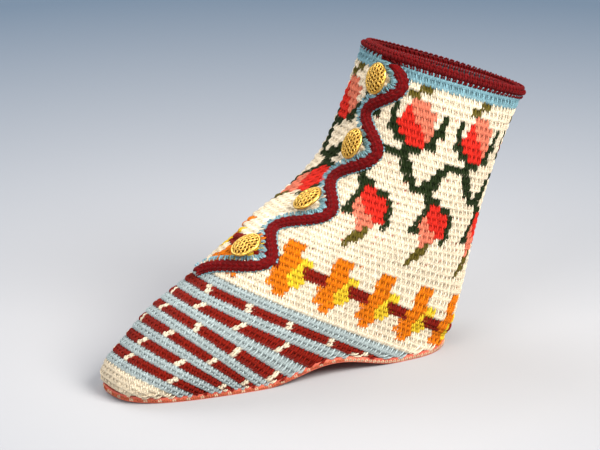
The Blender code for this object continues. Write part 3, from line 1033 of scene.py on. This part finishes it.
def braid_spot(share, height):
    """Point and colour of the braid's core, its maroon deepened by painted shade under the chains."""
    spot = route_at(route_lengths[-1] * height)
    return braid_point(spot, math.pi * share), ground("m", 1.0)


braid_mesh = yarn_sheet(BRAID_SIDES, BRAID_STEPS, braid_spot)
bmesh.ops.recalc_face_normals(braid_mesh, faces=braid_mesh.faces[:])
edging_core = finish_piece("flap_edging_core", braid_mesh, [fabric.material])
add_wall(edging_core, EDGING_BODY, -1.0)

chain_spots = []
chain_count = int(route_lengths[-1] / CHAIN_APART)
for turn in np.radians(CHAIN_TURNS):
    for number in range(chain_count):
        length = (number + 0.5) * route_lengths[-1] / chain_count
        before, here, after = (route_at(length + step) for step in (-CHAIN_REACH, 0.0, CHAIN_REACH))
        middle = braid_point(here, turn)
        run = unit(braid_point(after, turn) - braid_point(before, turn))
        across = unit(braid_point(here, turn - CHAIN_TURN_REACH) - braid_point(here, turn + CHAIN_TURN_REACH))
        out = np.cross(across, run)
        out *= np.sign(np.dot(out, braid_point(here, turn, OUTSIDE) - middle))
        colour = vary(YARNS["m"], MAROON_SPREAD)
        chain_spots.append((middle, CHAIN_WIDE * across, CHAIN_TALL * run, CHAIN_PLUMP * out, colour))
chain_shape = strands(CHAIN_LEGS)
finish_piece("flap_edging_braid", joined("flap_edging_braid", chain_shape, chain_spots),
             [cotton.material], ["flap_edging"])

# Collar edging
# Maroon rounds rolled over the top of the upper, inside and out, thicker where they run over the flap.
# They are crocheted on to the upper's top round.
COLLAR_PROUD = 0.8
COLLAR_CORE = 0.76
RING_COLUMNS = 120
RING_SIDES = 12
COLLAR_LANES = 6
COLLAR_STITCH = 2.2


def collar_proud(around):
    """How far the collar's edging stands out: further where it runs over the flap."""
    past_root = ease((around - FLAP_ROOT) / FLAP_BLEND)
    before_edge = ease((scallop(COLLAR_TALL) + EDGING_WIDE - around) / EDGING_WIDE)
    return COLLAR_PROUD + FLAP_THICK * past_root * before_edge


def collar_point(share, turn):
    """Point of the rolled ring's core: share round it from the back, and turn over its roll."""
    down = 0.5 * COLLAR_TALL * (1.0 - COLLAR_CORE * math.cos(turn))
    around = half_round(down) * (2.0 * (share % 1.0) - 1.0)
    proud = float(collar_proud(around))
    middle = 0.5 * (proud - WALL)
    spread = 0.5 * (proud + WALL) + 0.5 * COLLAR_PROUD
    return cloth(down, around, middle + COLLAR_CORE * spread * math.sin(turn))


def ring_spot(share, height):
    """Point and colour of the rolled ring's core, its maroon deepened by painted shade under its stitches."""
    return collar_point(share, 2.0 * math.pi * height), ground("m", 1.0)


ring_mesh = yarn_sheet(RING_COLUMNS, RING_SIDES, ring_spot)
bmesh.ops.remove_doubles(ring_mesh, verts=ring_mesh.verts[:], dist=MERGE * MM)
bmesh.ops.recalc_face_normals(ring_mesh, faces=ring_mesh.faces[:])
finish_piece("collar_core", ring_mesh, [fabric.material])

collar_spots = []
collar_count = int(2.0 * half_round(0.5 * COLLAR_TALL) / COLLAR_STITCH)
half_stitch = 0.5 / collar_count
half_lane = math.pi / COLLAR_LANES
for lane in range(COLLAR_LANES):
    turn = 2.0 * math.pi * (lane + 0.5) / COLLAR_LANES
    for number in range(collar_count):
        share = (number + 0.5 * (lane % 2)) / collar_count
        middle = collar_point(share, turn)
        across = collar_point(share + half_stitch, turn) - collar_point(share - half_stitch, turn)
        up = collar_point(share, turn - half_lane) - collar_point(share, turn + half_lane)
        out = CHAIN_PLUMP * unit(np.cross(across, up))
        collar_spots.append((middle, across, up, out, vary(YARNS["m"], MAROON_SPREAD)))
finish_piece("collar_braid", joined("collar_braid", stitch_shape, collar_spots),
             [cotton.material],
             ["collar_edging_inner_back", "collar_edging_inner_front",
              "collar_edging_outer_front", "collar_edging_outer_back"])

# Buttons
# Four domed buttons of gilt brass, with a filigree of small rings and beads on a dome of darker gilt inside a
# plain rim, each sewn on through a shank in one of the flap's scallops. The dark dome is painted shade in the
# filigree's piercings.
BUTTON_AROUND = 8.0
BUTTON_TILT = math.radians(18.0)
BUTTON_RADIUS = 5.85
BUTTON_TALL = 3.9
BUTTON_SHANK_RADIUS = 2.6
BUTTON_SIDES = 48
BUTTON_MERGE = 0.01
RIM_UNDER = 1.6
RIM_TOP = 2.55
RIM_WIDE = 0.8
# Turned profile of the rim: how far in from the button's edge, and height
RIM_PROFILE = ((0.4, 1.6), (0.05, 1.85), (0.0, 2.175), (0.15, 2.55), (0.45, 2.67), (0.8, 2.45))
DOME_SHARES = (0.97, 0.85, 0.65, 0.4, 0.2, 0.0)
DOME_DROP = 0.2
DOME_SUNK = 0.3
HOOP_TUBE = 0.2
HOOP_RADIUS = 0.72
HOOP_SIDES = 6
HOOP_STEPS = 12
# Rings of the filigree: distance from the middle and how many stand there
FILIGREE = ((0.0, 1), (1.62, 6), (3.2, 12), (4.55, 17))
BEAD_RADIUS = 0.24
BEADS = ((0.85, 6), (2.42, 12), (3.92, 18))
BEAD_TURN = 0.25


def dome_height(radius):
    """Height of the button's dome at a distance from its middle."""
    inner = BUTTON_RADIUS - RIM_WIDE
    return RIM_TOP - DOME_DROP + (BUTTON_TALL - RIM_TOP) * math.sqrt(max(1.0 - (radius / inner) ** 2, 0.0))


def place_on_dome(mesh, verts, distance, turn):
    """Tip a detail made at the origin to the dome's slope and set it down at a distance and turn."""
    reach = 0.05
    rise = dome_height(distance + reach) - dome_height(max(distance - reach, 0.0))
    tip = Matrix.Rotation(-math.atan2(rise, 2.0 * reach), 4, "Y")
    shift = Matrix.Translation((distance * MM, 0.0, dome_height(distance) * MM))
    bmesh.ops.transform(mesh, verts=verts, matrix=Matrix.Rotation(turn, 4, "Z") @ shift @ tip)


def button_mesh():
    """Turned body with its rim, and the filigree on the dome."""
    mesh = bmesh.new()
    inner = BUTTON_RADIUS - RIM_WIDE
    profile = [(0.0, 0.0), (BUTTON_SHANK_RADIUS, 0.0)]
    profile += [(BUTTON_RADIUS - inward, height) for inward, height in RIM_PROFILE]
    profile += [(inner * share, dome_height(inner * share) - DOME_SUNK) for share in DOME_SHARES]
    verts = [mesh.verts.new((radius * MM, 0.0, height * MM)) for radius, height in profile]
    edges = [mesh.edges.new(pair) for pair in zip(verts, verts[1:])]
    bmesh.ops.spin(mesh, geom=verts + edges, axis=(0, 0, 1), cent=(0, 0, 0), angle=2.0 * math.pi,
                   steps=BUTTON_SIDES, use_merge=True)
    bmesh.ops.remove_doubles(mesh, verts=mesh.verts[:], dist=BUTTON_MERGE * MM)
    # The dome under the filigree takes the second finish, darker gilt as painted shade
    for face in mesh.faces:
        middle = face.calc_center_median()
        in_dome = math.hypot(middle.x, middle.y) < inner * MM and middle.z > RIM_UNDER * MM
        face.material_index = 1 if in_dome else 0
    for group, (distance, count) in enumerate(FILIGREE):
        for number in range(count):
            turn = 2.0 * math.pi * (number + 0.5 * (group % 2)) / count
            before = set(mesh.verts)
            circle = bmesh.ops.create_circle(mesh, segments=HOOP_SIDES, radius=HOOP_TUBE * MM)["verts"]
            bmesh.ops.rotate(mesh, verts=circle, cent=(0, 0, 0), matrix=Matrix.Rotation(math.pi / 2, 3, "X"))
            bmesh.ops.translate(mesh, verts=circle, vec=(HOOP_RADIUS * MM, 0, 0))
            rim = list({edge for vert in circle for edge in vert.link_edges})
            bmesh.ops.spin(mesh, geom=circle + rim, axis=(0, 0, 1), cent=(0, 0, 0), angle=2.0 * math.pi,
                           steps=HOOP_STEPS, use_merge=True)
            hoop = [vert for vert in mesh.verts if vert not in before]
            place_on_dome(mesh, hoop, distance, turn)
    for distance, count in BEADS:
        for number in range(count):
            bead = bmesh.ops.create_icosphere(mesh, subdivisions=1, radius=BEAD_RADIUS * MM)["verts"]
            place_on_dome(mesh, bead, distance, 2.0 * math.pi * (number + BEAD_TURN) / count)
    bmesh.ops.recalc_face_normals(mesh, faces=mesh.faces[:])
    return mesh


gilt = Finish("gilt brass", 0.28, metallic=1.0)
tarnish = gilt.noise(700.0, 4.0, 0.6)
gilt.colour(gilt.ramp(tarnish, ((0.3, linear(196, 146, 56)), (0.7, linear(236, 196, 104)))))
gilt.rough(tarnish, 0.2, 0.42)
# Darker gilt for the dome behind the filigree: painted shade in the piercings
painted_shade_gilt = Finish("shaded gilt", 0.5, metallic=1.0)
back_tarnish = painted_shade_gilt.noise(900.0, 4.0, 0.6)
painted_shade_gilt.colour(painted_shade_gilt.ramp(back_tarnish, ((0.3, linear(92, 58, 18)), (0.7, linear(150, 104, 40)))))
painted_shade_gilt.rough(back_tarnish, 0.4, 0.65)
for number, down in enumerate(LOBE_DOWNS, start=1):
    seat_lift = FLAP_TOP + GAP + BUTTON_SHANK_RADIUS * math.sin(BUTTON_TILT)
    seat = Vector(place(cloth(down, BUTTON_AROUND, seat_lift)))
    downward = Vector(place(cloth(down + 1.0, BUTTON_AROUND, seat_lift))) - seat
    axis = (Vector(place(cloth(down, BUTTON_AROUND, seat_lift + 1.0))) - seat).normalized()
    mesh = button_mesh()
    turned = Matrix.Translation(seat) @ Matrix.Rotation(BUTTON_TILT, 4, downward.normalized()) \
        @ axis.to_track_quat("Z", "Y").to_matrix().to_4x4()
    bmesh.ops.transform(mesh, verts=mesh.verts[:], matrix=turned)
    finish_piece("gilt_button_%d" % number, mesh, [gilt.material, painted_shade_gilt.material],
                 ["button_%d" % number])

# Studio
# A plain floor under three softboxes and a pale sky, painted pale grey round the bootie and darker and bluer
# further off as painted light falling off.
# The camera looks from the outer side, a little toward the toe and a little above.
FLOOR_SIZE = 3.0
CAMERA_TURN = math.radians(59.0)
CAMERA_RISE = math.radians(19.0)
CAMERA_AWAY = 1.194
CAMERA_LENS = 200.0
LOOK_AT = Vector((0.0, -0.00671, 0.050))

floor_mesh = bmesh.new()
bmesh.ops.create_grid(floor_mesh, x_segments=8, y_segments=8, size=0.5 * FLOOR_SIZE)
floor_data = bpy.data.meshes.new("floor")
floor_mesh.to_mesh(floor_data)
floor_mesh.free()
floor = link("floor", floor_data)
paper = Finish("studio paper", 0.8)
length = paper.nodes.new("ShaderNodeVectorMath")
length.operation = "LENGTH"
paper.links.new(paper.where, length.inputs[0])
# Painted light: the floor's colour pale near the bootie, darker and bluer with distance
paper_painted_falloff = ((0.1, (0.315, 0.315, 0.325)), (0.5, (0.076, 0.114, 0.162)))
paper.colour(paper.ramp(length.outputs["Value"], paper_painted_falloff))
floor_data.materials.append(paper.material)


def add_softbox(name, where, size, power, colour):
    """Square area light that looks at the bootie."""
    lamp = bpy.data.lights.new(name, "AREA")
    lamp.shape = "SQUARE"
    lamp.size = size
    lamp.energy = power
    lamp.color = colour
    item = link(name, lamp)
    item.location = where
    item.rotation_euler = (LOOK_AT - Vector(where)).to_track_quat("-Z", "Y").to_euler()


add_softbox("key softbox", (0.95, 0.45, 1.05), 0.8, 48.0, (1.0, 0.97, 0.92))
add_softbox("front softbox", (0.5, -1.2, 0.8), 0.9, 17.0, (1.0, 0.97, 0.94))
add_softbox("inner softbox", (-0.9, -0.2, 1.0), 0.9, 11.0, (0.95, 0.97, 1.0))
world = bpy.data.worlds.new("studio")
bpy.context.scene.world = world
world.use_nodes = True
sky = world.node_tree.nodes["Background"]
sky.inputs["Color"].default_value = (0.9, 0.93, 1.0, 1.0)
sky.inputs["Strength"].default_value = 0.55
bpy.context.scene.view_settings.view_transform = "Standard"

camera_data = bpy.data.cameras.new("camera")
camera_data.lens = CAMERA_LENS
camera_data.sensor_width = 36.0
camera = link("camera", camera_data)
level = math.cos(CAMERA_RISE)
toward = Vector((math.sin(CAMERA_TURN) * level, -math.cos(CAMERA_TURN) * level, math.sin(CAMERA_RISE)))
camera.location = LOOK_AT + CAMERA_AWAY * toward
camera.rotation_euler = (-toward).to_track_quat("-Z", "Y").to_euler()
bpy.context.scene.camera = camera
